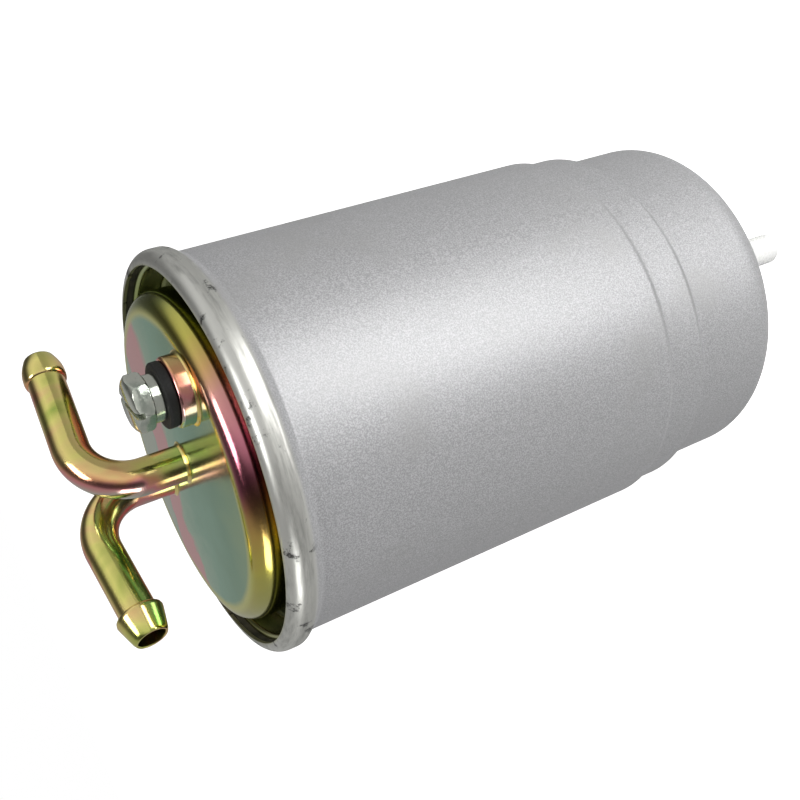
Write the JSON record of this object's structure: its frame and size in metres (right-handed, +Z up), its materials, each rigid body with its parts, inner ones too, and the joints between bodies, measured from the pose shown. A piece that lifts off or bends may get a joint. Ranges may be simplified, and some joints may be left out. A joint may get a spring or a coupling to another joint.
{
  "type": "fuel filter",
  "caption": "In-line canister fuel filter: painted steel can, plated end plate with two bent hose pipes and a vent screw, drain plug with a hose nipple at the other end.",
  "frame": {"origin": "on the can's axis, at the middle of the straight wall that the bracket band clamps", "axes": "+Z up the can's axis towards the hose pipes; +X the way the outlet pipe's leg points; -Y towards the vent screw"},
  "size_m": [0.0888, 0.0888, 0.1749],
  "materials": {
    "can_paint": "silver metallic paint, fine orange peel",
    "chromate": "bright yellow chromate, iridescent",
    "seam_compound": "matt",
    "braze": "plated over",
    "rubber": "matt",
    "zinc": "clear zinc",
    "nylon": "natural nylon",
    "filter_paper": "resin-treated paper",
    "tinplate": "bright tinplate",
    "adhesive": "cast adhesive",
    "spring_steel": "oiled wire"
  },
  "bodies": {
    "can": {"can_shell": "can_paint", "end_plate": "chromate", "seam_gasket": "seam_compound", "outlet_pipe": "chromate", "inlet_pipe": "chromate", "outlet_braze": "braze", "inlet_braze": "braze", "vent_boss": "chromate", "vent_braze": "braze", "drain_insert": "zinc", "drain_weld": "zinc", "pleated_paper": "filter_paper", "pleat_clip": "tinplate", "top_cap": "tinplate", "bottom_cap": "tinplate", "top_potting": "adhesive", "bottom_potting": "adhesive", "centre_tube": "tinplate", "outlet_grommet": "rubber", "spring_seat": "tinplate", "pressure_spring": "spring_steel"},
    "vent_washer": {"vent_seal": "rubber"},
    "vent_screw": {"vent_screw": "zinc"},
    "drain_washer": {"drain_seal": "rubber"},
    "drain_plug": {"drain_plug": "nylon"}
  },
  "joints": [
    {"name": "vent_lift", "type": "slide", "parent": "can", "child": "vent_washer", "axis": [0, 0, 1], "range_m": [0, 0.002]},
    {"name": "vent_turn", "type": "hinge", "parent": "vent_washer", "child": "vent_screw", "pos_m": [0, -0.0257, 0.0571], "axis": [0, 0, 1], "range_deg": [0, 720]},
    {"name": "drain_lift", "type": "slide", "parent": "can", "child": "drain_washer", "axis": [0, 0, -1], "range_m": [0, 0.0025]},
    {"name": "drain_turn", "type": "hinge", "parent": "drain_washer", "child": "drain_plug", "pos_m": [-0.01065, -0.02184, -0.08385], "axis": [0, 0, -1], "range_deg": [0, 720]}
  ],
  "couplings": [
    {"joint": "vent_turn", "follows": "vent_lift", "rad_per_m": 6283.2},
    {"joint": "drain_turn", "follows": "drain_lift", "rad_per_m": 5026.5}
  ]
}
